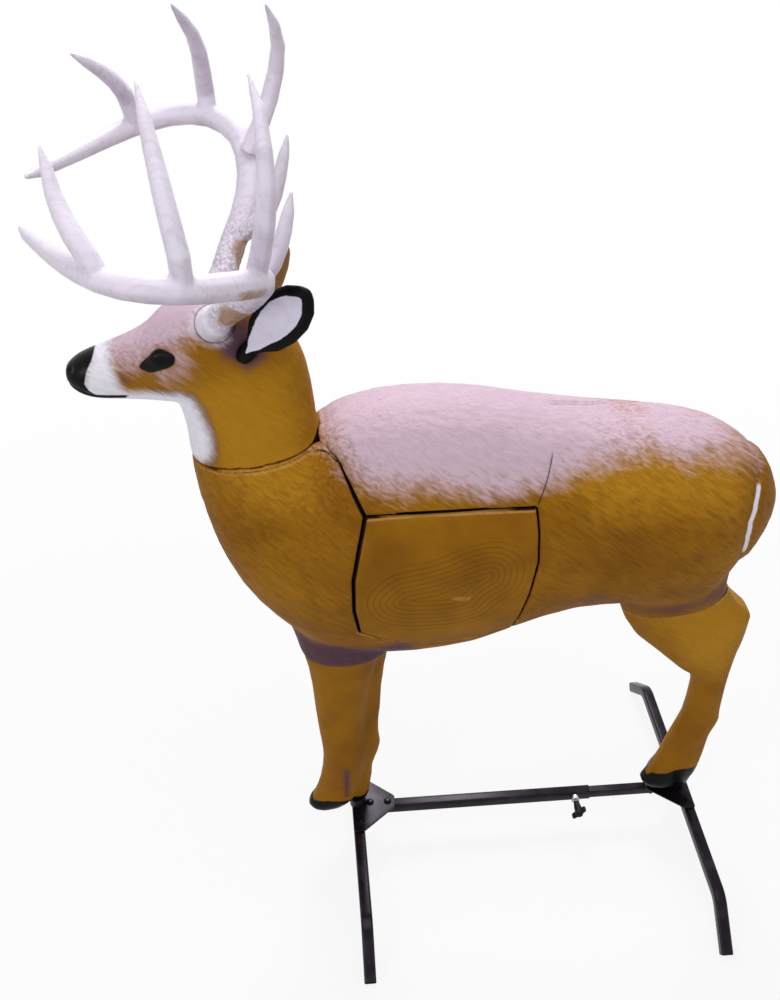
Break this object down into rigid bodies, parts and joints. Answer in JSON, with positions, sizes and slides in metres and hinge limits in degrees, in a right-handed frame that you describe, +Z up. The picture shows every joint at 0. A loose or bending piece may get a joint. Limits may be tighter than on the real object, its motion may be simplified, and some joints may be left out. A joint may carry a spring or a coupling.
{
  "type": "archery target stand",
  "caption": "Telescoping tube ground stand with leg posts, carrying a life-size foam buck archery target with a slide-out vitals insert.",
  "frame": {"origin": "centre of the bounding box in X and Y, on the ground under the stand", "axes": "+X from the target's nose to its rump along the long bar, +Y from its left flank to its right flank, +Z up"},
  "size_m": [1.0112, 0.6158, 1.3882],
  "materials": {
    "black_steel": "gloss black powder coat",
    "zinc": "zinc-plated steel",
    "black_plastic": "moulded black plastic",
    "leg_foam": "painted self-skinning foam, smooth",
    "body_foam": "painted self-skinning foam with moulded hair",
    "insert_foam": "painted softer foam with pressed rings",
    "dowel_wood": "plain hardwood",
    "ear_rubber": "painted soft moulding, black rim and pale cup",
    "antler_plastic": "off-white satin moulding"
  },
  "bodies": {
    "front_stand": {"front_crossbar": "black_steel", "front_gusset_plate": "black_steel", "outer_bar_tube": "black_steel", "front_arm_bolt_1": "black_steel", "front_arm_nut_1": "black_steel", "front_arm_bolt_2": "black_steel", "front_arm_nut_2": "black_steel", "front_bar_bolt_1": "black_steel", "front_bar_nut_1": "black_steel", "front_bar_bolt_2": "black_steel", "front_bar_nut_2": "black_steel", "front_leg_post": "black_steel", "front_post_nut": "zinc", "front_left_plug": "black_plastic", "front_right_plug": "black_plastic", "lock_boss": "zinc"},
    "bar_lock": {"lock_screw": "zinc", "lock_knob": "black_plastic"},
    "rear_stand": {"rear_crossbar": "black_steel", "rear_gusset_plate": "black_steel", "inner_bar_tube": "black_steel", "rear_packing_strip": "black_steel", "rear_arm_bolt_1": "black_steel", "rear_arm_nut_1": "black_steel", "rear_arm_bolt_2": "black_steel", "rear_arm_nut_2": "black_steel", "rear_bar_bolt": "black_steel", "rear_bar_nut": "black_steel", "rear_leg_post": "black_steel", "rear_post_nut": "zinc", "rear_left_plug": "black_plastic", "rear_right_plug": "black_plastic"},
    "buck": {"front_leg": "leg_foam", "rear_leg": "leg_foam", "front_body_section": "body_foam", "rear_body_section": "body_foam", "upper_left_dowel": "dowel_wood", "upper_right_dowel": "dowel_wood", "lower_left_dowel": "dowel_wood", "lower_right_dowel": "dowel_wood"},
    "insert": {"vitals_insert": "insert_foam"},
    "head": {"head_and_neck": "body_foam", "neck_peg": "dowel_wood", "left_ear": "ear_rubber", "right_ear": "ear_rubber"},
    "antler_left": {"left_antler": "antler_plastic"},
    "antler_right": {"right_antler": "antler_plastic"}
  },
  "joints": [
    {"name": "lock_turn", "type": "hinge", "parent": "front_stand", "child": "bar_lock", "pos_m": [0.26573, -0.02, 0.065], "axis": [0, -1, 0], "range_deg": [0, 360]},
    {"name": "bar_telescope", "type": "slide", "parent": "front_stand", "child": "rear_stand", "axis": [1, 0, 0], "range_m": [-0.008, 0.008]},
    {"name": "buck_lift", "type": "slide", "parent": "front_stand", "child": "buck", "axis": [0, 0, 1], "range_m": [0, 0.125]},
    {"name": "insert_slide", "type": "slide", "parent": "buck", "child": "insert", "axis": [0, -1, 0], "range_m": [0, 0.26]},
    {"name": "head_lift", "type": "slide", "parent": "buck", "child": "head", "axis": [0, 0, 1], "range_m": [0, 0.08]},
    {"name": "left_antler_pull", "type": "slide", "parent": "head", "child": "antler_left", "axis": [0.4889, -0.5147, 0.7043], "range_m": [0, 0.036]},
    {"name": "right_antler_pull", "type": "slide", "parent": "head", "child": "antler_right", "axis": [0.3961, 0.6564, 0.6421], "range_m": [0, 0.036]}
  ]
}
